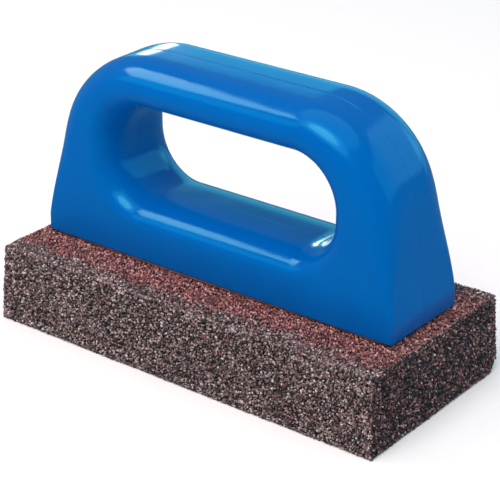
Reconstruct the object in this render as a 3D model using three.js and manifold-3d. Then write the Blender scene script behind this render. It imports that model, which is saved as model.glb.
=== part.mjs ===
// Rub brick: a block of coarse bonded abrasive with a hollow moulded D handle bonded on top.
// Millimetres, +Z up. The origin is the middle of the rubbing face, +X runs along the brick,
// and the handle's opening runs through it along Y.

import * as THREE from 'three';
import { ParametricGeometry } from 'three/addons/geometries/ParametricGeometry.js';
import { mergeVertices } from 'three/addons/utils/BufferGeometryUtils.js';
import Module from 'manifold-3d';

const wasm = await Module();
wasm.setup();

// Abrasive brick.
const brickLength = 152;
const brickWidth = 72;
const brickHeight = 27;
const brickDraft = 1.35; // how far each side leans in from the rubbing face to the top
const brickChamfer = 0.8; // worn edges round both faces
const brickCornerRadius = 1.2;

// Handle, side view. Heights are above the foot.
const footEndMargin = 6.5; // bare brick past each end of the foot
const footSkirt = 6; // upright part of the ends, just above the foot
const endLean = THREE.MathUtils.degToRad(7.5);
const shoulderRadius = 35;
const openingFloor = 18.8;
const openingHeight = 31.4;
const gripBarHeight = 16.4;
const postWidth = 21.8; // end post at mid opening
const openingCorner = 14.3;

// Handle, through its thickness.
const handleThickness = 36;
const crownFlat = 12.4; // flat strip along the crown, seam in its middle
const crownRoundDepth = 8.5; // how far the rounding reaches down from the crown
const footEdgeRadius = 0.6;
const roundingStart = 3; // the edges are nearly sharp below this height
const roundingEnd = 44; // and fully rounded above this one
const rimRoundWidth = 12.5; // bell mouth of the opening, along Y
const rimRoundDepth = 7.5; // and away from the opening
const wall = 3;
const innerFillet = 0.6;
const seamGroove = 0.35;
const leastFlat = 0.4; // straight stretch left between two roundings

// Where the handle sits on the brick.
const handleShiftX = -1.2;
const handleShiftY = 2;
const bedThickness = 0.5;
const bedInset = 0.8;

// Locating pins of the front half, in sockets of the back half.
const bossRadius = 4;
const pinRadius = 2;
const pinLength = 4;
const pinClearance = 0.15;
const basePinSpacing = 50;

// Values that follow from the sizes above.
const footLength = brickLength - 2 * footEndMargin;
const handleHeight = openingFloor + openingHeight + gripBarHeight;
const openingMiddle = openingFloor + openingHeight / 2;
const openingHalfWidth =
  footLength / 2 - (openingMiddle - footSkirt) * Math.tan(endLean) - postWidth;
const halfThickness = handleThickness / 2;

// A rounding is limited by the wall it is on: the opening's corners by its height, and the
// roundings along the crown and the rim by the narrower of the grip bar and the end posts.
const cornerRadius = Math.min(openingCorner, (openingHeight - leastFlat) / 2);
const roundingRoom = Math.min(gripBarHeight, postWidth) - leastFlat;
const roundingShare = Math.min(1, roundingRoom / (crownRoundDepth + rimRoundDepth));
const crownDepth = crownRoundDepth * roundingShare;
const rimDepth = rimRoundDepth * roundingShare;
const crownWidth = Math.max(halfThickness - crownFlat / 2, footEdgeRadius);
const rimWidth = Math.min(rimRoundWidth, halfThickness - wall);

// ---- Joining and cutting ----

function toSolid(geometry) {
  const bare = geometry.clone();
  bare.deleteAttribute('normal');
  bare.deleteAttribute('uv');
  const merged = mergeVertices(bare, 1e-5);
  return new wasm.Manifold(new wasm.Mesh({
    numProp: 3,
    vertProperties: new Float32Array(merged.attributes.position.array),
    triVerts: new Uint32Array(merged.index.array),
  }));
}

function toGeometry(solid) {
  const mesh = solid.getMesh();
  const geometry = new THREE.BufferGeometry();
  geometry.setAttribute('position', new THREE.BufferAttribute(mesh.vertProperties, 3));
  geometry.setIndex(new THREE.BufferAttribute(mesh.triVerts, 1));
  geometry.computeVertexNormals();
  return geometry;
}

// ---- Plates and block ----

function rectangle(length, width, radius) {
  const x = length / 2 - radius;
  const y = width / 2 - radius;
  const shape = new THREE.Shape();
  shape.absarc(x, y, radius, 0, Math.PI / 2);
  shape.absarc(-x, y, radius, Math.PI / 2, Math.PI);
  shape.absarc(-x, -y, radius, Math.PI, 1.5 * Math.PI);
  shape.absarc(x, -y, radius, 1.5 * Math.PI, 2 * Math.PI);
  return shape;
}

function makeBrick() {
  const geometry = new THREE.ExtrudeGeometry(rectangle(brickLength, brickWidth, brickCornerRadius), {
    depth: brickHeight - 2 * brickChamfer,
    bevelThickness: brickChamfer,
    bevelSize: brickChamfer,
    bevelOffset: -brickChamfer,
    bevelSegments: 1,
    curveSegments: 4,
  });
  geometry.translate(0, 0, brickChamfer);
  const position = geometry.attributes.position;
  for (let i = 0; i < position.count; i++) {
    const rise = position.getZ(i) / brickHeight;
    position.setX(i, position.getX(i) * (1 - 2 * brickDraft * rise / brickLength));
    position.setY(i, position.getY(i) * (1 - 2 * brickDraft * rise / brickWidth));
  }
  return toGeometry(toSolid(geometry));
}

function makeBed() {
  const outline = rectangle(footLength - 2 * bedInset, handleThickness - 2 * bedInset, bedInset);
  return toGeometry(toSolid(new THREE.ExtrudeGeometry(outline, {
    depth: bedThickness,
    bevelEnabled: false,
    curveSegments: 3,
  })));
}

// ---- Handle ----

// A point of the right half of the handle's outer outline, moved in by inset. Each segment
// is walked by t from 0 to 1: foot, skirt, leaning end, shoulder, crown.
function outerOutline(segment, t, inset) {
  const skirtX = footLength / 2 - inset;
  const skirtTop = footSkirt - inset * Math.tan(endLean / 2);
  const centreZ = handleHeight - shoulderRadius;
  const leanX = footLength / 2 - (centreZ - footSkirt) * Math.tan(endLean);
  const centreX = leanX - shoulderRadius / Math.cos(endLean);
  const radius = shoulderRadius - inset;
  const turn = endLean + t * (Math.PI / 2 - endLean);
  const arcX = centreX + radius * Math.cos(endLean);
  const arcZ = centreZ + radius * Math.sin(endLean);
  const points = {
    foot: [t * skirtX, inset],
    skirt: [skirtX, inset + t * (skirtTop - inset)],
    end: [skirtX + t * (arcX - skirtX), skirtTop + t * (arcZ - skirtTop)],
    shoulder: [centreX + radius * Math.cos(turn), centreZ + radius * Math.sin(turn)],
    crown: [centreX * (1 - t), handleHeight - inset],
  };
  return points[segment];
}

// The same for the opening's outline, moved out into the handle by outset.
function openingOutline(segment, t, outset) {
  const cornerX = openingHalfWidth - cornerRadius;
  const lowZ = openingFloor + cornerRadius;
  const highZ = openingFloor + openingHeight - cornerRadius;
  const radius = cornerRadius + outset;
  const turn = t * Math.PI / 2;
  const points = {
    floor: [t * cornerX, openingFloor - outset],
    lowCorner: [cornerX + radius * Math.sin(turn), lowZ - radius * Math.cos(turn)],
    side: [openingHalfWidth + outset, lowZ + t * (highZ - lowZ)],
    highCorner: [cornerX + radius * Math.cos(turn), highZ + radius * Math.sin(turn)],
    top: [cornerX * (1 - t), openingFloor + openingHeight + outset],
  };
  return points[segment];
}

// Stations round the right half, each pairing a place on the outer outline with one on the
// opening: [steps, outer segment, from, to, opening segment, from, to].
const stationRuns = [
  [4, 'foot', 0, 0.62, 'floor', 0, 1],
  [3, 'foot', 0.62, 1, 'lowCorner', 0, 3 / 8],
  [1, 'skirt', 0, 1, 'lowCorner', 3 / 8, 4 / 8],
  [4, 'end', 0, 0.5, 'lowCorner', 4 / 8, 1],
  [3, 'end', 0.5, 1, 'side', 0, 1],
  [10, 'shoulder', 0, 1, 'highCorner', 0, 1],
  [5, 'crown', 0, 1, 'top', 0, 1],
];

function makeStations() {
  const right = [];
  for (const [steps, outer, outerFrom, outerTo, opening, openingFrom, openingTo] of stationRuns) {
    for (let i = 0; i < steps; i++) {
      const s = i / steps;
      const outerT = outerFrom + s * (outerTo - outerFrom);
      const openingT = openingFrom + s * (openingTo - openingFrom);
      right.push({
        outer: (inset) => outerOutline(outer, outerT, inset),
        opening: (outset) => openingOutline(opening, openingT, outset),
      });
    }
  }
  const top = {
    outer: (inset) => outerOutline('crown', 1, inset),
    opening: (outset) => openingOutline('top', 1, outset),
  };
  const mirror = ([x, z]) => [-x, z];
  const left = right.slice(1).reverse().map((station) => ({
    outer: (inset) => mirror(station.outer(inset)),
    opening: (outset) => mirror(station.opening(outset)),
  }));
  return [...right, top, ...left];
}

// Points [x, y, z] of a rounding: a quarter ellipse, width along Y and depth along the outline's
// normal. The path goes from the side face to the flat (outward) or back again.
function rounding(edge, sideY, width, depth, offset, steps, fromSide) {
  const points = [];
  for (let i = 0; i <= steps; i++) {
    const s = fromSide ? i / steps : 1 - i / steps;
    const angle = s * Math.PI / 2;
    const [x, z] = edge(offset + depth * (1 - Math.sin(angle)));
    points.push([x, sideY - width * (1 - Math.cos(angle)), z]);
  }
  return points;
}

// The closed section of a half shell at one station: out over the crown and the side face to the
// opening, and back along the inside of the wall.
function shellSection(station) {
  const { outer, opening } = station;
  const height = outer(0)[1];
  const growth = THREE.MathUtils.smoothstep(height, roundingStart, roundingEnd);
  const width = THREE.MathUtils.lerp(footEdgeRadius, crownWidth, growth);
  const depth = THREE.MathUtils.lerp(footEdgeRadius, crownDepth, growth);
  const innerWidth = Math.max(width - wall, innerFillet);
  const innerDepth = Math.max(depth - wall, innerFillet);
  const rimInnerWidth = Math.max(rimWidth - wall, innerFillet);
  const rimInnerDepth = Math.max(rimDepth - wall, innerFillet);
  const inside = halfThickness - wall;
  const on = ([x, z], y) => [x, y, z];
  return [
    on(outer(seamGroove), 0),
    on(outer(0), seamGroove),
    ...rounding(outer, halfThickness, width, depth, 0, 6, false),
    ...rounding(opening, halfThickness, rimWidth, rimDepth, 0, 6, true),
    on(opening(0), seamGroove),
    on(opening(seamGroove), 0),
    on(opening(wall), 0),
    ...rounding(opening, inside, rimInnerWidth, rimInnerDepth, wall, 3, false),
    ...rounding(outer, inside, innerWidth, innerDepth, wall, 3, true),
    on(outer(wall), 0),
  ];
}

// side is -1 for the front half and +1 for the back half.
function makeShell(side) {
  const rings = makeStations().map(shellSection);
  const around = rings.length;
  const across = rings[0].length;
  const surface = (u, v, target) => {
    const step = Math.round(u * around);
    const ring = rings[(side > 0 ? around - step : step) % around];
    const [x, y, z] = ring[Math.round(v * across) % across];
    target.set(x, side * y, z);
  };
  return toSolid(new ParametricGeometry(surface, around, across));
}

// A cylinder along Y from one height to another.
function post(radius, from, to, x, z) {
  const geometry = new THREE.CylinderGeometry(radius, radius, to - from, 20);
  geometry.translate(0, (from + to) / 2, 0);
  geometry.translate(x, 0, z);
  return toSolid(geometry);
}

const pinPlaces = [
  [-openingHalfWidth - postWidth / 2, openingMiddle],
  [openingHalfWidth + postWidth / 2, openingMiddle],
  [-basePinSpacing / 2, openingFloor / 2],
  [basePinSpacing / 2, openingFloor / 2],
];
const bossRoot = halfThickness - wall / 2;

function makeFrontHalf() {
  let half = makeShell(-1);
  for (const [x, z] of pinPlaces) {
    half = half.add(post(bossRadius, -bossRoot, 0, x, z));
    half = half.add(post(pinRadius, -bossRoot, pinLength, x, z));
  }
  return toGeometry(half);
}

function makeBackHalf() {
  let half = makeShell(1);
  for (const [x, z] of pinPlaces) {
    half = half.add(post(bossRadius, 0, bossRoot, x, z));
    half = half.subtract(post(pinRadius + pinClearance, -1, pinLength + 0.5, x, z));
  }
  return toGeometry(half);
}

// ---- Assembly ----

function makePart(name, geometry, color, roughness) {
  const material = new THREE.MeshStandardMaterial({ color, roughness, metalness: 0 });
  const mesh = new THREE.Mesh(geometry, material);
  mesh.name = name;
  return mesh;
}

const rubBrick = new THREE.Group();
rubBrick.add(makePart('abrasive_brick', makeBrick(), 0x5a504c, 0.95));

const bed = makePart('adhesive_bed', makeBed(), 0x6b3f36, 0.6);
bed.position.set(handleShiftX, handleShiftY, brickHeight);
rubBrick.add(bed);

const handle = new THREE.Group();
handle.position.set(handleShiftX, handleShiftY, brickHeight + bedThickness);
handle.add(makePart('handle_front_half', makeFrontHalf(), 0x0061b0, 0.3));
handle.add(makePart('handle_back_half', makeBackHalf(), 0x0061b0, 0.3));
rubBrick.add(handle);

export default rubBrick;
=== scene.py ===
import math

import bpy
import numpy as np
from mathutils import Matrix, Vector


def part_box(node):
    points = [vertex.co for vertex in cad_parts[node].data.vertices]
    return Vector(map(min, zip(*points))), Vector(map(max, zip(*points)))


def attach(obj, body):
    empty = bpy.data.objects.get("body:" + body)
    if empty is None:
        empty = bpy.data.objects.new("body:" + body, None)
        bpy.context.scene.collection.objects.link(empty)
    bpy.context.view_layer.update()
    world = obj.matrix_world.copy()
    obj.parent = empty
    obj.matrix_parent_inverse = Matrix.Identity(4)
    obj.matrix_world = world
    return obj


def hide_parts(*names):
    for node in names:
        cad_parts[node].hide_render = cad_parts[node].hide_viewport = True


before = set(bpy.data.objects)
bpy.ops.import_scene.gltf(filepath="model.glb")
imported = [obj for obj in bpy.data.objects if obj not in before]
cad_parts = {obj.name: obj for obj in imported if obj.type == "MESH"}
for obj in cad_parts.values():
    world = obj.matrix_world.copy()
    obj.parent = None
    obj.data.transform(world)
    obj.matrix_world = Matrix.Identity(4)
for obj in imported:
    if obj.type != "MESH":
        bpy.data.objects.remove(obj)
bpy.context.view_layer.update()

# A rub brick: coarse bonded grit with a blue moulded handle glued on top. Shapes are worked out in
# millimetres and put into the meshes in metres.
mm = 0.001
print("frame loaded:", ", ".join(sorted(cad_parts)))


# A CAD node's box in mm.
def boxOf(node):
    low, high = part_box(node)
    return np.array(low) / mm, np.array(high) / mm


# Piecewise-smooth random values between 0 and 1: a lattice of seeded random numbers, read with
# smoothed trilinear weights. size is the lattice spacing in mm.
def softNoise(points, size, seed):
    cells = 64  # the lattice repeats after this many
    lattice = np.random.default_rng(seed).random((cells, cells, cells))
    at = points / size + 1000
    low = np.floor(at).astype(int)
    f = at - low
    f = f * f * (3 - 2 * f)
    value = 0
    for corner in np.ndindex(2, 2, 2):
        weight = np.prod(np.where(corner, f, 1 - f), axis=-1)
        i, j, k = np.moveaxis((low + corner) % cells, -1, 0)
        value = value + weight * lattice[i, j, k]
    return value


# faceSets holds arrays of faces, each with its own number of corners.
def makeMesh(name, points, faceSets, flip=False):
    if flip:
        faceSets = [faces[:, ::-1] for faces in faceSets]
    corners = np.concatenate([np.full(len(faces), faces.shape[1]) for faces in faceSets])
    index = np.concatenate([faces.ravel() for faces in faceSets])
    mesh = bpy.data.meshes.new(name)
    mesh.vertices.add(len(points))
    mesh.vertices.foreach_set("co", np.asarray(points * mm, np.float32).ravel())
    mesh.loops.add(len(index))
    mesh.loops.foreach_set("vertex_index", index.astype(np.int32))
    mesh.polygons.add(len(corners))
    mesh.polygons.foreach_set("loop_start", (np.cumsum(corners) - corners).astype(np.int32))
    mesh.update(calc_edges=True)
    mesh.validate()
    return mesh


# A visible piece on the root body, in place of the CAD nodes named.
def addPiece(name, mesh, material, slot, *cadNodes):
    piece = bpy.data.objects.new(name, mesh)
    bpy.context.scene.collection.objects.link(piece)
    mesh.materials.append(material)
    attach(piece, "root")
    if cadNodes:
        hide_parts(*cadNodes)
    return piece


# Faces of a grid of rows x columns points, closed round on itself where asked.
def gridFaces(rows, columns, closeRows=False, closeColumns=False):
    i = np.arange(rows if closeRows else rows - 1)[:, None]
    j = np.arange(columns if closeColumns else columns - 1)[None, :]
    i, j = np.broadcast_arrays(i, j)
    nextI, nextJ = (i + 1) % rows, (j + 1) % columns
    faces = [i * columns + j, nextI * columns + j, nextI * columns + nextJ, i * columns + nextJ]
    return np.stack(faces, -1).reshape(-1, 4)


# Faces of closed rings of points joined in order, with a pole closing each end. The points are
# the rings, then the two poles.
def ringFaces(rings, count):
    j = np.arange(count)
    after = (j + 1) % count
    pole = 0 * j + rings * count
    last = (rings - 1) * count
    firstFan = np.stack([pole, j, after], -1)
    lastFan = np.stack([pole + 1, last + after, last + j], -1)
    return [gridFaces(rings, count, False, True), np.concatenate([firstFan, lastFan])]


# An sRGB hex colour as linear values.
def linear(hexColour):
    srgb = np.array([int(hexColour[i:i + 2], 16) for i in (1, 3, 5)]) / 255
    rgb = np.where(srgb <= 0.04045, srgb / 12.92, ((srgb + 0.055) / 1.055) ** 2.4)
    return (*rgb.tolist(), 1.0)


# Adds one node. settings are its properties, and inputs are values or sockets for its inputs.
def addNode(tree, kind, inputs=None, **settings):
    node = tree.nodes.new(kind)
    for key, value in settings.items():
        setattr(node, key, value)
    for key, value in (inputs or {}).items():
        if isinstance(value, bpy.types.NodeSocket):
            tree.links.new(value, node.inputs[key])
        else:
            node.inputs[key].default_value = value
    return node


def newMaterial(name, **plain):
    material = bpy.data.materials.new(name)
    material.use_nodes = True
    tree = material.node_tree
    shader = tree.nodes["Principled BSDF"]
    for key, value in plain.items():
        shader.inputs[key].default_value = value
    return material, tree, shader


def setRamp(node, stops):
    ramp = node.color_ramp
    while len(ramp.elements) < len(stops):
        ramp.elements.new(0.5)
    for element, (place, colour) in zip(ramp.elements, stops):
        element.position = place
        element.color = linear(colour)


# Blue polypropylene, injection moulded in a polished tool: even, saturated colour with a soft
# gloss, a faint orange peel, and light scuffs where hands and buckets have rubbed it.
plasticLook = {
    "colours": [(0.3, "#0057a3"), (0.7, "#005ba8")],  # faint clouds in the pigment
    "cloudSize": 24.0,  # mm
    "sheen": "#50f4ff",  # tint of the gloss: the pigment keeps it from going grey
    "scuffSize": 7.0,
    "scuffEdge": (0.35, 0.7),  # noise values where a scuff begins and is full
    "roughness": (0.11, 0.16),  # unscuffed and scuffed
    "wave": (9.0, 0.05),  # slight sinking between the thick and thin places of the wall: size, depth
    "peel": (1.6, 0.003),  # orange peel: size, depth
}


def makePlastic(look):
    material, tree, shader = newMaterial("bluePolypropylene", IOR=1.49, Metallic=0.0)
    shader.inputs["Specular Tint"].default_value = linear(look["sheen"])
    at = addNode(tree, "ShaderNodeTexCoord").outputs["Object"]
    scale = 1 / (look["cloudSize"] * mm)
    cloud = addNode(tree, "ShaderNodeTexNoise", {"Vector": at, "Scale": scale, "Detail": 3.0})
    colour = addNode(tree, "ShaderNodeValToRGB", {"Fac": cloud.outputs["Fac"]})
    setRamp(colour, look["colours"])
    scale = 1 / (look["scuffSize"] * mm)
    scuff = addNode(tree, "ShaderNodeTexNoise",
                    {"Vector": at, "Scale": scale, "Detail": 6.0, "Roughness": 0.65})
    begin, full = look["scuffEdge"]
    smooth, scuffed = look["roughness"]
    rough = addNode(tree, "ShaderNodeMapRange",
                    {"Value": scuff.outputs["Fac"], "From Min": begin, "From Max": full,
                     "To Min": smooth, "To Max": scuffed})
    bump = None
    for size, depth in (look["wave"], look["peel"]):  # the peel lies on the wave
        scale = 1 / (size * mm)
        relief = addNode(tree, "ShaderNodeTexNoise", {"Vector": at, "Scale": scale, "Detail": 1.0})
        under = {"Normal": bump.outputs["Normal"]} if bump else {}
        bump = addNode(tree, "ShaderNodeBump",
                       {"Height": relief.outputs["Fac"], "Distance": depth * mm, "Strength": 1.0, **under})
    tree.links.new(colour.outputs["Color"], shader.inputs["Base Color"])
    tree.links.new(rough.outputs["Result"], shader.inputs["Roughness"])
    tree.links.new(bump.outputs["Normal"], shader.inputs["Normal"])
    return material


# Vitrified silicon carbide, 20 grit, pressed and fired: dark grains of mixed grey and brown with black
# pores between them, and a rusty stain round the glue. The blackest grains also paint the shade in the
# pores, and the palest grains paint a few glinting crystal faces.
gritLook = {
    # the black low end also paints shade in the pores, and the pale high end paints glints
    "shades": [(0.0, "#050404"), (0.25, "#403532"), (0.5, "#776664"), (0.85, "#9c8987"), (1.0, "#cfc5c2")],
    "warm": "#8a6a64",
    "warmShare": 0.3,  # how many of the grains are brownish
    "stained": [(0.0, "#120605"), (0.2, "#4e1c19"), (0.5, "#853c37"), (0.8, "#aa5650"), (1.0, "#d49a94")],
    "stainShare": 0.9,
    "roughness": 0.5,
}


# Mixes two colours, or sockets, by a share.
def mixColours(tree, share, first, second, blend="MIX"):
    mixed = addNode(tree, "ShaderNodeMix", {0: share, 6: first, 7: second},
                    data_type="RGBA", blend_type=blend)
    return mixed.outputs[2]


# The grain attribute holds each crystal's shade, how warm it is, and how stained. On the ends the
# stained colours also stand for painted shade.
def makeGrainMaterial(look):
    material, tree, shader = newMaterial("siliconCarbideGrit", IOR=1.7, Roughness=look["roughness"])
    grain = addNode(tree, "ShaderNodeAttribute", attribute_name="grain")
    parts = addNode(tree, "ShaderNodeSeparateColor", {"Color": grain.outputs["Color"]})
    shade = addNode(tree, "ShaderNodeValToRGB", {"Fac": parts.outputs["Red"]})
    setRamp(shade, look["shades"])
    warm = addNode(tree, "ShaderNodeMath", {0: parts.outputs["Green"], 1: look["warmShare"]},
                   operation="LESS_THAN")
    brown = mixColours(tree, warm.outputs[0], shade.outputs["Color"], linear(look["warm"]), "OVERLAY")
    stainAndShadeRamp = addNode(tree, "ShaderNodeValToRGB", {"Fac": parts.outputs["Red"]})
    setRamp(stainAndShadeRamp, look["stained"])
    stainAndShade = addNode(tree, "ShaderNodeMath", {0: parts.outputs["Blue"], 1: look["stainShare"]},
                    operation="MULTIPLY")
    colour = mixColours(tree, stainAndShade.outputs[0], brown, stainAndShadeRamp.outputs["Color"])
    tree.links.new(colour, shader.inputs["Base Color"])
    return material


# Vitrified bond, the fired glassy clay between the grains: dull and a little uneven, and nearly black,
# partly its own colour and partly painted shade in the pits between the grains.
bondAndPitShadeLook = {"colours": [(0.3, "#120e0d"), (0.7, "#2c2422")], "size": 0.8, "roughness": 0.7}

# Filled epoxy, spread by hand and cured: dull red-brown paste with darker patches.
glueLook = {"colours": [(0.3, "#3d2420"), (0.7, "#6e4038")], "size": 1.5, "roughness": 0.5}


# A dull mottled solid: noise with patches of the given size in mm, coloured by a ramp.
def makeMottled(name, look):
    material, tree, shader = newMaterial(name, IOR=1.5, Roughness=look["roughness"])
    at = addNode(tree, "ShaderNodeTexCoord").outputs["Object"]
    scale = 1 / (look["size"] * mm)
    noise = addNode(tree, "ShaderNodeTexNoise", {"Vector": at, "Scale": scale, "Detail": 4.0})
    colour = addNode(tree, "ShaderNodeValToRGB", {"Fac": noise.outputs["Fac"]})
    setRamp(colour, look["colours"])
    tree.links.new(colour.outputs["Color"], shader.inputs["Base Color"])
    return material


brickShape = {
    "draft": 1.35,  # how far each side leans in at the top
    "edgeRadius": (0.4, 1.3),  # worn edges, least and most
    "edgePatch": 9.0,  # how far apart the less and the more worn places lie
    "bodySink": 0.7,  # the bond lies this far under the outermost grains
    "bodyRough": (0.5, 1.3),  # height and size of the bond's own unevenness
    "bodyStep": 0.9,  # mesh spacing
    "gritSize": 0.8,
    "gritStep": {"rubbing_face": 0.9, "top": 0.66, "other": 0.62},  # from one grain to the next
    "gritSpread": (0.2, 0.65, 1.5),  # of the sizes: log deviation, least and most
    "gritSink": (0.6, 1.75),  # how deep a grain's middle lies, in its own radii
    "gritStretch": (0.8, 1.35),
    "gritCrooked": 0.28,
    "proud": 0.5,  # grains stand out of the nominal faces by up to this much
    "glueMargin": 1.5,  # no grains further in under the glue than this
    # chipped corners: which corner (x, y, z signs), and how deep the chip cuts
    "chips": [((-1, -1, 1), 2.2), ((1, 1, -1), 3.0), ((1, -1, 1), 1.0)],
    "chipRagged": (1.2, 1.6),  # height and size of a chip's unevenness
    "chipSoftness": 0.6,
    "stainReach": 14.0,  # mm round the foot
    "stainRagged": 7.0,  # how far its edge wanders in and out
    "stainPatches": [(1.0, 8.0, 21), (0.6, 2.5, 22)],  # weight, size and seed of its wandering
    "stainFade": 4.0,
    # each face's grains: how far they lean to the dark shades, and how rusty they are. On the ends both
    # are mostly painted shade, giving darker and browner grains on the faces turned away from the light
    "paintedShadeAndRust": {
        "front": (1.0, 0.0),
        "back": (1.0, 0.0),
        "top": (1.0, 0.0),
        "end_left": (2.3, 0.6),  # painted shade: the ends face away from the light
        "end_right": (2.3, 0.6),
        "rubbing_face": (1.2, 0.1),
    },
    "seed": 11,
}

# The CAD brick stops just short of whole millimetres because its edges are worn.
brickLow, brickHigh = boxOf("abrasive_brick")
brickHigh = np.array([math.ceil(brickHigh[0]), math.ceil(brickHigh[1]), brickHigh[2]])
brickLow = np.array([-brickHigh[0], -brickHigh[1], brickLow[2]])
bedLow, bedHigh = boxOf("adhesive_bed")


# Point on the worn brick for a point on its plain box: the box shrunk by the edge radius, grown
# back by a ball of that radius, leaned in towards the top, and cut by the chips.
def wornBrick(points):
    small, large = brickShape["edgeRadius"]
    ragged, raggedSize = brickShape["chipRagged"]
    radius = (small + (large - small) * softNoise(points, brickShape["edgePatch"], 3))[:, None]
    inner = np.clip(points, brickLow + radius, brickHigh - radius)
    normal = points - inner
    normal /= np.linalg.norm(normal, axis=1, keepdims=True)
    worn = inner + radius * normal
    rise = (worn[:, 2:] - brickLow[2]) / (brickHigh[2] - brickLow[2])
    worn[:, :2] *= 1 - brickShape["draft"] * rise / brickHigh[:2]
    for signs, depth in brickShape["chips"]:
        out = np.array(signs) / math.sqrt(3)
        corner = np.where(np.array(signs) > 0, brickHigh, brickLow)
        past = (worn - corner) @ out + depth + ragged * (softNoise(points, raggedSize, 5) - 0.5)
        past = np.clip(past, 0, None)[:, None]
        worn = worn - past * out
        normal = normal + past / brickShape["chipSoftness"] * out
    normal /= np.linalg.norm(normal, axis=1, keepdims=True)
    return worn, normal


# The six faces of the plain box, as (fixed axis, its value, the two axes along the face).
def boxFaces():
    for axis in range(3):
        for high in (False, True):
            across = [a for a in range(3) if a != axis]
            if high != (axis == 1):
                first, second = across
            else:
                second, first = across
            yield axis, (brickHigh if high else brickLow)[axis], first, second


# The bond between the grains: a grid on each face of the box, joined along the edges, taken to the
# worn surface and then sunk along its normal by a depth that varies with smooth noise.
def makeBrickBody():
    points, faces, count = [], [], 0
    for axis, value, first, second in boxFaces():
        lengths = (brickHigh - brickLow)[[first, second]]
        steps = np.round(lengths / brickShape["bodyStep"]).astype(int) + 1
        u = np.linspace(brickLow[first], brickHigh[first], steps[0])
        v = np.linspace(brickLow[second], brickHigh[second], steps[1])
        grid = np.zeros((*steps, 3))
        grid[..., axis] = value
        grid[..., first] = u[:, None]
        grid[..., second] = v[None, :]
        points.append(grid.reshape(-1, 3))
        faces.append(gridFaces(*steps) + count)
        count += len(points[-1])
    points, faces = np.concatenate(points), np.concatenate(faces)
    keys = np.round(points * 1000).astype(np.int64)  # points nearer than a micron are one point
    _, first, merged = np.unique(keys, axis=0, return_index=True, return_inverse=True)
    points, faces = points[first], merged.reshape(-1)[faces]
    surface, normal = wornBrick(points)
    rough, roughSize = brickShape["bodyRough"]
    depth = brickShape["bodySink"] + rough * (softNoise(points, roughSize, 7) - 0.3)
    return makeMesh("brick_body", surface - depth[:, None] * normal, [faces])


# Corners of a cube inside a ball of radius 1, and its sides as twelve triangles.
def crystalBlock():
    points = np.array([(x, y, z) for z in (-1, 1) for y in (-1, 1) for x in (-1, 1)]) / math.sqrt(3)
    faces = np.array([(0, 2, 3), (0, 3, 1), (4, 5, 7), (4, 7, 6), (0, 1, 5), (0, 5, 4),
                      (2, 6, 7), (2, 7, 3), (0, 4, 6), (0, 6, 2), (1, 3, 7), (1, 7, 5)])
    return points, faces


# Rotation matrices of quaternions (w, x, y, z), which are first brought to length 1.
def turnMatrices(quaternions):
    w, x, y, z = (quaternions / np.linalg.norm(quaternions, axis=1, keepdims=True)).T
    entries = [1 - 2 * (y * y + z * z), 2 * (x * y - w * z), 2 * (x * z + w * y),
               2 * (x * y + w * z), 1 - 2 * (x * x + z * z), 2 * (y * z - w * x),
               2 * (x * z - w * y), 2 * (y * z + w * x), 1 - 2 * (x * x + y * y)]
    return np.stack(entries, -1).reshape(-1, 3, 3)


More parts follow.
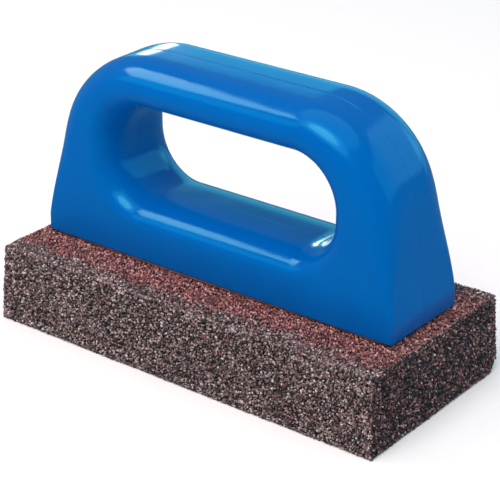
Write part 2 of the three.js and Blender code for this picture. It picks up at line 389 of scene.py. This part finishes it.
# Grains on one face of the brick: jittered grid places on the worn surface, each with a crooked,
# randomly turned and stretched crystal of twelve facets, most of it sunk in the bond.
def makeGrains(name, axis, value, first, second, random):
    step = brickShape["gritStep"].get(name, brickShape["gritStep"]["other"])
    u = np.arange(brickLow[first] + step / 2, brickHigh[first], step)
    v = np.arange(brickLow[second] + step / 2, brickHigh[second], step)
    places = np.zeros((len(u) * len(v), 3))
    places[:, axis] = value
    places[:, first] = np.repeat(u, len(v)) + random.uniform(-0.5, 0.5, len(places)) * step
    places[:, second] = np.tile(v, len(u)) + random.uniform(-0.5, 0.5, len(places)) * step
    places = np.clip(places, brickLow, brickHigh)
    surface, normal = wornBrick(places)
    if axis == 2 and value == brickHigh[2]:
        margin = brickShape["glueMargin"]
        under = ((surface > bedLow + margin) & (surface < bedHigh - margin))[:, :2].all(axis=1)
        surface, normal = surface[~under], normal[~under]
    count = len(surface)
    spread, least, most = brickShape["gritSpread"]
    radius = brickShape["gritSize"] / 2 * np.exp(random.normal(0, spread, count)).clip(least, most)
    sink = radius * random.uniform(*brickShape["gritSink"], count)
    turned = turnMatrices(random.normal(size=(count, 4)))
    block, faces = crystalBlock()
    shape = block * random.uniform(*brickShape["gritStretch"], (count, 1, 3))
    crooked = brickShape["gritCrooked"]
    shape = shape + random.uniform(-crooked, crooked, (count, len(block), 3))
    shape = np.einsum("nij,nkj->nki", turned, shape) * radius[:, None, None]
    centre = surface - sink[:, None] * normal
    points = centre[:, None] + shape
    # nothing stands further out of the face than the mould let it
    height = np.einsum("nkj,nj->nk", points - surface[:, None], normal)
    over = np.clip(height - brickShape["proud"], 0, None)
    points = points - over[..., None] * normal[:, None]
    points[..., 2] = np.clip(points[..., 2], brickLow[2], None)
    # the stain fades out some way from the glue, on the top only, with a ragged edge
    away = np.linalg.norm((surface - np.clip(surface, bedLow, bedHigh))[:, :2], axis=1)
    patches = sum(weight * softNoise(surface, size, seed)
                  for weight, size, seed in brickShape["stainPatches"])
    middle = sum(weight for weight, size, seed in brickShape["stainPatches"]) / 2
    reach = brickShape["stainReach"] + brickShape["stainRagged"] * (patches - middle)
    stainAndShade = np.clip((reach - away) / brickShape["stainFade"], 0, 1) * np.clip(normal[:, 2], 0, 1)
    # on the ends the power and the rust darken and brown the grains as painted shade
    paintedShadePower, rustAndShade = brickShape["paintedShadeAndRust"][name]
    stainAndShade = np.maximum(stainAndShade, rustAndShade) * random.uniform(0.5, 1.0, count)
    shade = random.random(count) ** paintedShadePower
    grain = np.stack([shade, random.random(count), stainAndShade, np.ones(count)], -1)
    allFaces = (faces[None] + len(block) * np.arange(count)[:, None, None]).reshape(-1, 3)
    mesh = makeMesh("grit_" + name, points.reshape(-1, 3), [allFaces])
    layer = mesh.color_attributes.new("grain", "FLOAT_COLOR", "POINT")
    layer.data.foreach_set("color", np.repeat(grain, len(block), axis=0).astype(np.float32).ravel())
    return mesh


grainMaterial = makeGrainMaterial(gritLook)
# the nearly black bond also paints the shade in the pits between the grains
bondAndPitShadeMaterial = makeMottled("vitrifiedBondAndPitShade", bondAndPitShadeLook)
addPiece("brick_body", makeBrickBody(), bondAndPitShadeMaterial, "abrasive", "abrasive_brick")
print("brick body made")

random = np.random.default_rng(brickShape["seed"])
faceNames = ["end_left", "end_right", "front", "back", "rubbing_face", "top"]
for name, face in zip(faceNames, boxFaces()):
    mesh = makeGrains(name, *face, random)
    addPiece("grit_" + name, mesh, grainMaterial, "abrasive")
    print("grit on", name, len(mesh.polygons), "faces")


handleShape = {
    "skirt": 6.0,  # upright part of the ends, just above the foot
    "lean": math.radians(7.5),
    "shoulderRadius": 35.0,
    "openingFloor": 18.8,
    "openingHeight": 31.4,
    "openingCorner": 14.3,
    "postWidth": 21.8,  # at mid opening
    "crownFlat": 12.4,
    "crownDepth": 8.5,
    "footEdge": 0.6,
    "roundingStart": 3.0,
    "roundingEnd": 44.0,
    "rimWidth": 12.5,
    "rimDepth": 7.5,
    "wall": 3.0,
    "innerFillet": 0.6,
    "groove": (0.04, 0.4),  # depth of the seam line, round the ends and along the crown
    "grooveRise": (3.0, 2.5),  # it deepens from this far below the crown, over this height
    # rows of the groove's section: share of its depth, and way from the seam in depths
    "grooveSection": [(1.0, 0.0), (0.3, 0.55), (0.06, 0.85), (0.0, 1.3)],
    "besideGroove": 0.15,  # one more row this far past it keeps its shading narrow
    "bossRadius": 4.0,
    "bossSoft": 0.3,  # bevel on a boss, a pin and a socket
    "pin": (2.0, 4.0),  # radius and length
    "pinClearance": 0.15,
    "pinRoom": 0.5,  # left at the socket's bottom
    "pinSpacing": 50.0,
    "pinSides": 48,
    "fineness": 6,  # mesh steps for each coarse station
    "roundingSteps": (16, 4),  # mesh steps across a rounding, outside and inside the wall
    "sharpAngle": 40,  # edges that turn more than this are shaded sharp
}

handleLow = np.minimum(boxOf("handle_front_half")[0], boxOf("handle_back_half")[0])
handleHigh = np.maximum(boxOf("handle_front_half")[1], boxOf("handle_back_half")[1])
footX = (handleHigh[0] - handleLow[0]) / 2
crownZ = handleHigh[2] - handleLow[2]
halfDepth = boxOf("handle_back_half")[1][1] - boxOf("handle_back_half")[0][1]
handleOrigin = np.array([(handleLow[0] + handleHigh[0]) / 2, handleHigh[1] - halfDepth, handleLow[2]])


# The right half of the outline seen from the front, moved in by inset: foot, skirt, end leaning
# in, shoulder arc, crown. segment says which, and t runs from 0 to 1 along each.
def outerOutline(segment, t, inset):
    h = handleShape
    skirtX = footX - inset
    skirtTop = h["skirt"] - inset * math.tan(h["lean"] / 2)
    centreZ = crownZ - h["shoulderRadius"]
    leanX = footX - (centreZ - h["skirt"]) * math.tan(h["lean"])
    centreX = leanX - h["shoulderRadius"] / math.cos(h["lean"])
    radius = h["shoulderRadius"] - inset
    turn = h["lean"] + t * (math.pi / 2 - h["lean"])
    arcX = centreX + radius * math.cos(h["lean"])
    arcZ = centreZ + radius * math.sin(h["lean"])
    pick = [segment == k for k in range(5)]
    x = np.select(pick, [t * skirtX, skirtX + 0 * t, skirtX + t * (arcX - skirtX),
                         centreX + radius * np.cos(turn), centreX * (1 - t) + 0 * inset])
    z = np.select(pick, [inset + 0 * t, inset + t * (skirtTop - inset), skirtTop + t * (arcZ - skirtTop),
                         centreZ + radius * np.sin(turn), crownZ - inset + 0 * t])
    return x, z


# The opening's outline, moved out into the handle by outset: floor, low corner, side, high
# corner, top.
def openingOutline(segment, t, outset):
    h = handleShape
    middle = h["openingFloor"] + h["openingHeight"] / 2
    halfWidth = footX - (middle - h["skirt"]) * math.tan(h["lean"]) - h["postWidth"]
    cornerX = halfWidth - h["openingCorner"]
    lowZ = h["openingFloor"] + h["openingCorner"]
    highZ = h["openingFloor"] + h["openingHeight"] - h["openingCorner"]
    radius = h["openingCorner"] + outset
    turn = t * math.pi / 2
    pick = [segment == k for k in range(5)]
    x = np.select(pick, [t * cornerX + 0 * outset, cornerX + radius * np.sin(turn),
                         halfWidth + outset + 0 * t, cornerX + radius * np.cos(turn),
                         cornerX * (1 - t) + 0 * outset])
    z = np.select(pick, [h["openingFloor"] - outset + 0 * t, lowZ - radius * np.cos(turn),
                         lowZ + t * (highZ - lowZ) + 0 * outset, highZ + radius * np.sin(turn),
                         h["openingFloor"] + h["openingHeight"] + outset + 0 * t])
    return x, z


# Stations round the right half, pairing a place on the outer outline with one on the opening:
# (steps, outer segment, from, to, opening segment, from, to).
stationRuns = [
    (6, 0, 0, 0.62, 0, 0, 1),
    (4, 0, 0.62, 1, 1, 0, 3 / 8),
    (1, 1, 0, 1, 1, 3 / 8, 4 / 8),
    (4, 2, 0, 0.5, 1, 4 / 8, 1),
    (3, 2, 0.5, 1, 2, 0, 1),
    (12, 3, 0, 1, 3, 0, 1),
    (6, 4, 0, 1, 4, 0, 1),
]


# Rows of (outer segment, its t, opening segment, its t, side) right round the handle. The left half
# is the right half mirrored.
def handleStations():
    rows = []
    for steps, outer, outerFrom, outerTo, opening, openingFrom, openingTo in stationRuns:
        s = np.arange(steps * handleShape["fineness"]) / (steps * handleShape["fineness"])
        rows.append(np.stack([0 * s + outer, outerFrom + s * (outerTo - outerFrom),
                              0 * s + opening, openingFrom + s * (openingTo - openingFrom), 0 * s + 1], -1))
    right = np.concatenate(rows)
    left = right[:0:-1] * (1, 1, 1, 1, -1)
    return np.concatenate([right, [(4, 1, 4, 1, 1)], left])


# Middles of the locating pins: one in each post and two over the foot.
def pinPlaces():
    h = handleShape
    middle = h["openingFloor"] + h["openingHeight"] / 2
    postX = footX - (middle - h["skirt"]) * math.tan(h["lean"]) - h["postWidth"] / 2
    return [(-postX, middle), (postX, middle), (-h["pinSpacing"] / 2, h["openingFloor"] / 2),
            (h["pinSpacing"] / 2, h["openingFloor"] / 2)]


# Radius and distance from the seam of each ring of a boss, from its root in the wall to its face
# on the seam and back to the root inside: the front half has a pin on it, the back half a socket.
def pinProfile(withPin):
    h = handleShape
    boss, root, soft = h["bossRadius"], halfDepth - h["wall"] / 2, h["bossSoft"]
    pin, length = h["pin"]
    if withPin:
        return [(0, root), (boss, root), (boss, soft), (boss - soft, 0), (pin, 0), (pin, soft - length),
                (pin - soft, -length), (0, -length)]
    hole, deep = pin + h["pinClearance"], length + h["pinRoom"]
    return [(0, root), (boss, root), (boss, soft), (boss - soft, 0), (hole + soft, 0), (hole, soft),
            (hole, deep), (0, deep)]


# Closed surface of revolution about a line along Y through the place (x, z).
def lathe(profile, place):
    sides = handleShape["pinSides"]
    turn = np.arange(sides) / sides * 2 * math.pi
    radius, along = np.array(profile, float).T[:, 1:-1, None]
    x = radius * np.cos(turn)
    rings = np.stack([x, along + 0 * x, radius * np.sin(turn)], -1)
    points = np.concatenate([rings.reshape(-1, 3), [(0, profile[0][1], 0), (0, profile[-1][1], 0)]])
    return points + (place[0], 0, place[1]), ringFaces(len(radius), sides)


# One half shell. Each station's closed section runs from the seam over the crown rounding, down
# the flat side face, round the rim into the opening, and back along the inside of the wall. A
# rounding is a quarter ellipse, width along Y and depth along the outline's normal. Its width
# and depth grow smoothly from the nearly sharp foot to the grip.
def makeHalf(side):
    h = handleShape
    stations = handleStations()
    outerSegment, outerT, openingSegment, openingT, mirror = (c[:, None] for c in stations.T)
    _, height = outerOutline(outerSegment, outerT, np.zeros((1, 1)))
    g = np.clip((height - h["roundingStart"]) / (h["roundingEnd"] - h["roundingStart"]), 0, 1)
    g = g * g * (3 - 2 * g)
    width = h["footEdge"] + g * (halfDepth - h["crownFlat"] / 2 - h["footEdge"])
    depth = h["footEdge"] + g * (h["crownDepth"] - h["footEdge"])
    least = h["innerFillet"]
    columns = []

    def put(outline, offset, y):
        segment, t = (outerSegment, outerT) if outline is outerOutline else (openingSegment, openingT)
        x, z = outline(segment, t, offset + np.zeros((len(stations), 1)))
        x, z, y = np.broadcast_arrays(x, z, y + np.zeros((len(stations), 1)))
        columns.append(np.stack([mirror * x, side * y, z], -1)[:, 0])

    def putRounding(outline, sideY, wide, deep, offset, steps, fromSide):
        for s in np.linspace(0, 1, steps + 1) if fromSide else np.linspace(1, 0, steps + 1):
            angle = s * math.pi / 2
            put(outline, offset + deep * (1 - math.sin(angle)), sideY - wide * (1 - math.cos(angle)))

    ends, crown = h["groove"]
    below, rise = h["grooveRise"]
    top = np.clip((height - crownZ + below) / rise, 0, 1)
    groove = ends + (crown - ends) * top * top * (3 - 2 * top)
    beside, (outerSteps, innerSteps) = h["besideGroove"], h["roundingSteps"]
    for share, way in h["grooveSection"]:
        put(outerOutline, share * groove, way * groove)
    put(outerOutline, 0, h["grooveSection"][-1][1] * groove + beside)
    putRounding(outerOutline, halfDepth, width, depth, 0, outerSteps, False)
    putRounding(openingOutline, halfDepth, h["rimWidth"], h["rimDepth"], 0, outerSteps, True)
    put(openingOutline, 0, 2 * ends + beside)
    put(openingOutline, 0, 2 * ends)
    put(openingOutline, ends, 0)
    wall = h["wall"]
    inside = halfDepth - wall
    put(openingOutline, wall, 0)
    putRounding(openingOutline, inside, h["rimWidth"] - wall, h["rimDepth"] - wall, wall, innerSteps, False)
    putRounding(outerOutline, inside, np.maximum(width - wall, least), np.maximum(depth - wall, least),
                wall, innerSteps, True)
    put(outerOutline, wall, 0)
    points = np.stack(columns, 1)
    faces = [gridFaces(*points.shape[:2], True, True)]
    points = points.reshape(-1, 3)
    for place in pinPlaces():
        boss, bossFaces = lathe(pinProfile(side < 0), place)
        faces += [each + len(points) for each in bossFaces]
        points = np.concatenate([points, boss * (1, side, 1)])
    name = "handle_front" if side < 0 else "handle_back"
    mesh = makeMesh(name, points + handleOrigin, faces, flip=side > 0)
    mesh.shade_smooth()
    mesh.set_sharp_from_angle(angle=math.radians(h["sharpAngle"]))
    return mesh


plastic = makePlastic(plasticLook)
addPiece("handle_front", makeHalf(-1), plastic, "handle_plastic", "handle_front_half")
addPiece("handle_back", makeHalf(1), plastic, "handle_plastic", "handle_back_half")
print("handle halves made")


glueShape = {
    "squareness": 0.06,  # 0 would give the outline square corners, and 1 would make it an oval
    "cornerTurn": 12,  # how suddenly the way out turns at a corner
    "steps": 720,  # round the edge
    "squeezeOut": 0.5,
    "ragged": [(1.0, 4.0, 31), (0.35, 1.2, 32)],  # height, size and seed of the edge's unevenness
    # the edge's section from the underside to the top: share of the outline, bulge and height
    "section": [(0.97, 0, -1), (1.0, 0.6, -0.8), (1.0, 1.0, -0.2), (1.0, 0.8, 0.5), (1.0, 0.3, 0.9),
                (0.97, 0, 1)],
}


# Thin closed slab. Its outline is a superellipse: half the bed's size, times the cosine and sine
# raised to a small power with their signs kept. Rows go from the middle of the underside out over
# a ragged, bulging edge to the middle on top.
def makeGlueBed():
    centre, half = (bedLow + bedHigh) / 2, (bedHigh - bedLow) / 2
    turn = np.linspace(0, 2 * math.pi, glueShape["steps"] + 1)[:-1]
    way = np.stack([np.cos(turn), np.sin(turn), 0 * turn], -1)
    edge = np.sign(way) * np.abs(way) ** glueShape["squareness"] * half
    out = glueShape["squeezeOut"]
    for height, size, seed in glueShape["ragged"]:
        out = out + height * (softNoise(edge + 50, size, seed) - 0.5)
    direction = np.sign(edge) * (np.abs(edge) / half) ** glueShape["cornerTurn"]
    direction /= np.linalg.norm(direction, axis=1, keepdims=True)
    rows = []
    for share, bulge, z in glueShape["section"]:
        row = edge * share + direction * (out * bulge)[:, None]
        row[:, 2] = z * half[2]
        rows.append(row)
    points = np.concatenate(rows + [[(0, 0, -half[2]), (0, 0, half[2])]]) + centre
    return makeMesh("glue_bed", points, ringFaces(len(rows), len(turn)), flip=True)


addPiece("glue_bed", makeGlueBed(), makeMottled("filledEpoxy", glueLook), "adhesive", "adhesive_bed")
print("glue bed made")


floorSet = {
    "colour": "#f0f0f0",
    "roughness": 0.8,
    "size": 60000.0,  # half its side
    "drop": 0.02,  # it lies this far under the brick, so that the two don't touch
    "clearReach": 2.0,  # rays that have gone less far than this pass through it
}


# A white sheet of paper. It is clear from below, and clear to the short rays that leave the face
# standing on it, so that the rubbing face can be seen from underneath and isn't black.
def makeFloor():
    x, z = floorSet["size"], -floorSet["drop"]
    points = np.array([(-x, -x, z), (x, -x, z), (x, x, z), (-x, x, z)])
    mesh = makeMesh("floor", points, [np.array([(0, 1, 2, 3)])])
    material, tree, shader = newMaterial("paleFloor", Roughness=floorSet["roughness"])
    shader.inputs["Base Color"].default_value = linear(floorSet["colour"])
    clear = addNode(tree, "ShaderNodeBsdfTransparent")
    facing = addNode(tree, "ShaderNodeNewGeometry")
    ray = addNode(tree, "ShaderNodeLightPath")
    short = addNode(tree, "ShaderNodeMath",
                    {0: ray.outputs["Ray Length"], 1: floorSet["clearReach"] * mm}, operation="LESS_THAN")
    see = addNode(tree, "ShaderNodeMath", {0: facing.outputs["Backfacing"], 1: short.outputs[0]},
                  operation="MAXIMUM")
    mix = addNode(tree, "ShaderNodeMixShader",
                  {0: see.outputs[0], 1: shader.outputs[0], 2: clear.outputs[0]})
    tree.links.new(mix.outputs[0], tree.nodes["Material Output"].inputs["Surface"])
    floor = bpy.data.objects.new("floor", mesh)
    mesh.materials.append(material)
    bpy.context.scene.collection.objects.link(floor)
    floor.visible_glossy = False  # the gloss shows the darker table round a studio sheet


# Softboxes: the way to each from the object, as degrees round from the back (+Y) towards the
# right (+X) and degrees up, then its distance, width and height in metres, brightness and colour.
# A card shows in the gloss but lights nothing, a fill lights things but doesn't show in the gloss,
# and one with Round in its name is an ellipse.
softboxes = {
    "key": (-107, 49, 1.3, 0.60, 0.34, 8.0, "#ffd4cc"),
    "cardLow": (-134, 33, 1.3, 0.50, 0.44, 1.7, "#60f4ff"),
    "fillFront": (170, 56, 1.3, 1.10, 1.00, 4.6, "#fff0e8"),
    "fillLow": (172, 12, 1.4, 1.60, 0.44, 1.2, "#f0f8ff"),
    "cardFrontRound": (-178, 56, 1.3, 1.15, 0.95, 2.0, "#c8f0ff"),
    "cardCoreRound": (-176, 58, 1.3, 0.66, 0.56, 9.0, "#ffb8a8"),
    "rim": (-44, 12, 1.5, 0.15, 0.27, 7.5, "#ffffff"),
    "cardBehind": (-12, 13, 1.7, 2.60, 0.76, 0.85, "#5cf4ff"),
    "cardRight": (46, 28, 1.7, 2.40, 1.10, 1.0, "#a4eeff"),
    "fill": (50, 32, 1.7, 2.60, 1.30, 0.7, "#f4fbff"),
}
# The room round them: grey overhead, and bluer behind and below. Each edge is two values of a unit
# vector's height, or of how far it points to the back, between which one colour becomes another.
roomLight = {
    "above": "#72899a",
    "behind": "#5c8c9c",
    "below": "#5f919c",
    "behindTop": (0.37, 0.56),
    "behindEdge": (0.0, 0.3),
    "belowEdge": (0.0, -0.04),
}
# A wide even light from straight overhead, which keeps the whole sheet pale.
overhead = {"brightness": 0.22, "spread": 60}


def addSoftbox(name, azimuth, elevation, distance, width, height, brightness, colour):
    light = bpy.data.lights.new(name, "AREA")
    light.shape = "ELLIPSE" if "Round" in name else "RECTANGLE"
    light.size, light.size_y = width, height
    area = width * height * (math.pi / 4 if "Round" in name else 1)
    light.energy = brightness * math.pi * area  # equal brightness looks equally bright at any size
    light.color = linear(colour)[:3]
    lamp = bpy.data.objects.new(name, light)
    around, up = math.radians(azimuth), math.radians(elevation)
    level = math.cos(up)
    place = Vector((math.sin(around) * level, math.cos(around) * level, math.sin(up))) * distance
    lamp.location = place
    lamp.rotation_mode = "QUATERNION"
    lamp.rotation_quaternion = place.to_track_quat("Z", "Y")
    lamp.visible_camera = False
    lamp.visible_diffuse = "card" not in name
    lamp.visible_glossy = "fill" not in name
    bpy.context.scene.collection.objects.link(lamp)


def makeLight():
    for name, place in softboxes.items():
        addSoftbox(name, *place)
    light = bpy.data.lights.new("overhead", "SUN")
    light.energy = overhead["brightness"] * math.pi
    light.angle = math.radians(overhead["spread"])
    bpy.context.scene.collection.objects.link(bpy.data.objects.new("overhead", light))
    world = bpy.data.worlds.new("studio")
    bpy.context.scene.world = world
    world.use_nodes = True
    tree = world.node_tree
    way = addNode(tree, "ShaderNodeTexCoord").outputs["Generated"]
    axes = addNode(tree, "ShaderNodeSeparateXYZ", {"Vector": way})
    begin, full = roomLight["behindTop"]
    low = addNode(tree, "ShaderNodeMapRange",
                  {"Value": axes.outputs["Z"], "From Min": begin, "From Max": full,
                   "To Min": 1.0, "To Max": 0.0})
    begin, full = roomLight["behindEdge"]
    back = addNode(tree, "ShaderNodeMapRange",
                   {"Value": axes.outputs["Y"], "From Min": begin, "From Max": full})
    begin, full = roomLight["belowEdge"]
    floorward = addNode(tree, "ShaderNodeMapRange",
                        {"Value": axes.outputs["Z"], "From Min": begin, "From Max": full})
    behind = addNode(tree, "ShaderNodeMath", {0: back.outputs[0], 1: low.outputs[0]},
                     operation="MULTIPLY")
    sky = mixColours(tree, behind.outputs[0], linear(roomLight["above"]), linear(roomLight["behind"]))
    whole = mixColours(tree, floorward.outputs[0], sky, linear(roomLight["below"]))
    tree.links.new(whole, tree.nodes["Background"].inputs["Color"])
    bpy.context.scene.view_settings.view_transform = "Standard"


cameraSet = {
    "azimuth": 37.87,  # degrees round from the front
    "elevation": 25.08,
    "distance": 601.3,
    "right": 2.28,  # mm that the camera stands to the side of the origin's line
    "up": 30.61,
    "fieldOfView": 15.69,
}


# The camera stands back from the object along its line of sight, moved a little sideways and up.
def makeCamera():
    c = cameraSet
    azimuth, elevation = math.radians(c["azimuth"]), math.radians(c["elevation"])
    back = Vector((math.sin(azimuth) * math.cos(elevation), -math.cos(azimuth) * math.cos(elevation),
                   math.sin(elevation)))
    right = Vector((0, 0, 1)).cross(back).normalized()
    up = back.cross(right)
    camera = bpy.data.cameras.new("camera")
    camera.angle = math.radians(c["fieldOfView"])
    eye = bpy.data.objects.new("camera", camera)
    place = (back * c["distance"] + right * c["right"] + up * c["up"]) * mm
    eye.matrix_world = Matrix.Translation(place) @ Matrix((right, up, back)).transposed().to_4x4()
    bpy.context.scene.collection.objects.link(eye)
    bpy.context.scene.camera = eye


makeFloor()
makeLight()
makeCamera()
print("floor, light and camera set")
